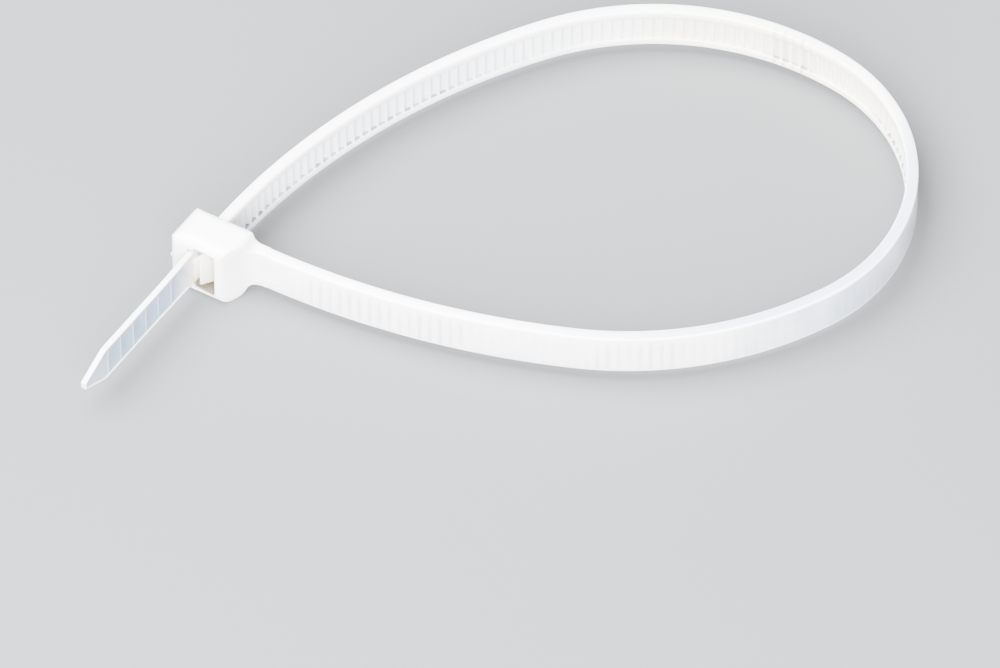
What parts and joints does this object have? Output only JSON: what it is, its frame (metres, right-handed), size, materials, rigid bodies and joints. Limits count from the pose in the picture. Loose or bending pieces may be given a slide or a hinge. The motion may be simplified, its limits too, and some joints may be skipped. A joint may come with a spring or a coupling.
{
  "type": "cable tie",
  "caption": "Self-locking nylon cable tie closed into a wide loop, its ribbed tail pulled a little way through the square head.",
  "frame": {"origin": "under the middle of the slot, on the side of the head that the tie lies on", "axes": "+X from the slot along the root of the strap, +Y to the entry face of the head, +Z across the strap's width, up from the surface it lies on"},
  "size_m": [0.0589, 0.0674, 0.0075],
  "materials": {
    "natural_nylon": "satin, milky and slightly translucent undyed nylon"
  },
  "bodies": {
    "root": {"cable_tie": "natural_nylon"}
  },
  "joints": []
}
